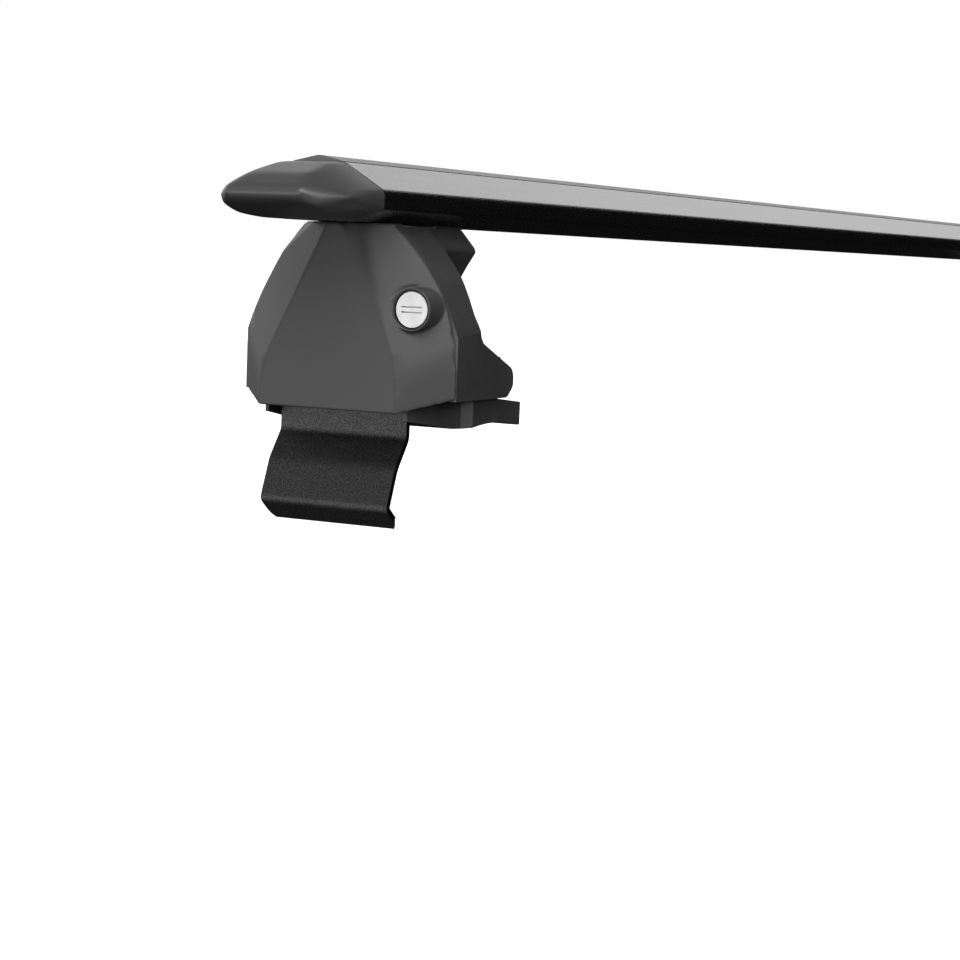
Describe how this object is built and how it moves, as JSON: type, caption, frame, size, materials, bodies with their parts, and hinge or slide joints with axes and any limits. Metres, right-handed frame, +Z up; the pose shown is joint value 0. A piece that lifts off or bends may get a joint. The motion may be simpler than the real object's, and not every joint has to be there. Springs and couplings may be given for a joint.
{
  "type": "roof rack crossbar",
  "caption": "Wing-shaped aluminium roof crossbar with bull-nosed end caps, a rubber top strip and lockable clamp feet that hook under the edges of a bare roof.",
  "frame": {"origin": "on the surface the crossbar stands on, under the middle of the bar", "axes": "+X along the bar, +Y towards the side away from the left foot's lock, +Z up; each end is the other one turned half round about Z"},
  "size_m": [1.4406, 0.114, 0.1678],
  "materials": {
    "bar_black": "black anodised, fine grain",
    "strip_rubber": "satin",
    "cap_plastic": "satin",
    "body_plastic": "satin",
    "cover_plastic": "satin, faint grain",
    "pad_rubber": "matte",
    "hook_paint": "textured powder coat",
    "bright_steel": "zinc plated",
    "bolt_steel": "zinc plated",
    "lock_ring": "dark, satin",
    "lock_face": "satin nickel"
  },
  "bodies": {
    "bar": {"bar_extrusion": "bar_black", "top_strip": "strip_rubber", "left_end_cap": "cap_plastic", "right_end_cap": "cap_plastic"},
    "left_foot": {"left_foot_body": "body_plastic", "left_base_pad": "pad_rubber", "left_pad_pins": "bright_steel", "left_clamp_nut": "bolt_steel", "left_slot_plate": "bright_steel", "left_slot_nut": "bolt_steel", "left_slot_bolts": "bolt_steel"},
    "left_hook": {"left_clamp_bracket": "hook_paint", "left_clamp_washer": "bright_steel"},
    "left_bolt": {"left_clamp_bolt": "bolt_steel"},
    "left_cover": {"left_foot_cover": "cover_plastic", "left_lock_housing": "lock_ring"},
    "left_lock": {"left_lock_cylinder": "lock_face", "left_lock_cam": "bolt_steel"},
    "right_foot": {"right_foot_body": "body_plastic", "right_base_pad": "pad_rubber", "right_pad_pins": "bright_steel", "right_clamp_nut": "bolt_steel", "right_slot_plate": "bright_steel", "right_slot_nut": "bolt_steel", "right_slot_bolts": "bolt_steel"},
    "right_hook": {"right_clamp_bracket": "hook_paint", "right_clamp_washer": "bright_steel"},
    "right_bolt": {"right_clamp_bolt": "bolt_steel"},
    "right_cover": {"right_foot_cover": "cover_plastic", "right_lock_housing": "lock_ring"},
    "right_lock": {"right_lock_cylinder": "lock_face", "right_lock_cam": "bolt_steel"}
  },
  "joints": [
    {"name": "left_foot_slide", "type": "slide", "parent": "bar", "child": "left_foot", "axis": [1, 0, 0], "range_m": [0, 0.1]},
    {"name": "left_hook_slide", "type": "slide", "parent": "left_foot", "child": "left_hook", "axis": [1, 0, 0], "range_m": [0, 0.005]},
    {"name": "left_bolt_turn", "type": "hinge", "parent": "left_hook", "child": "left_bolt", "pos_m": [-0.649, 0, 0.0728], "axis": [1, 0, 0], "range_deg": [0, 1440]},
    {"name": "left_cover_slide", "type": "slide", "parent": "left_foot", "child": "left_cover", "axis": [-1, 0, 0], "range_m": [0, 0.045]},
    {"name": "left_lock_turn", "type": "hinge", "parent": "left_cover", "child": "left_lock", "pos_m": [-0.655, -0.0399, 0.1004], "axis": [1, 0, 0], "range_deg": [-90, 0]},
    {"name": "right_foot_slide", "type": "slide", "parent": "bar", "child": "right_foot", "axis": [-1, 0, 0], "range_m": [0, 0.1]},
    {"name": "right_hook_slide", "type": "slide", "parent": "right_foot", "child": "right_hook", "axis": [-1, 0, 0], "range_m": [0, 0.005]},
    {"name": "right_bolt_turn", "type": "hinge", "parent": "right_hook", "child": "right_bolt", "pos_m": [0.649, 0, 0.0728], "axis": [-1, 0, 0], "range_deg": [0, 1440]},
    {"name": "right_cover_slide", "type": "slide", "parent": "right_foot", "child": "right_cover", "axis": [1, 0, 0], "range_m": [0, 0.045]},
    {"name": "right_lock_turn", "type": "hinge", "parent": "right_cover", "child": "right_lock", "pos_m": [0.655, 0.0399, 0.1004], "axis": [-1, 0, 0], "range_deg": [-90, 0]}
  ],
  "couplings": [
    {"joint": "left_bolt_turn", "follows": "left_hook_slide", "rad_per_m": 5026.5},
    {"joint": "right_bolt_turn", "follows": "right_hook_slide", "rad_per_m": 5026.5}
  ]
}
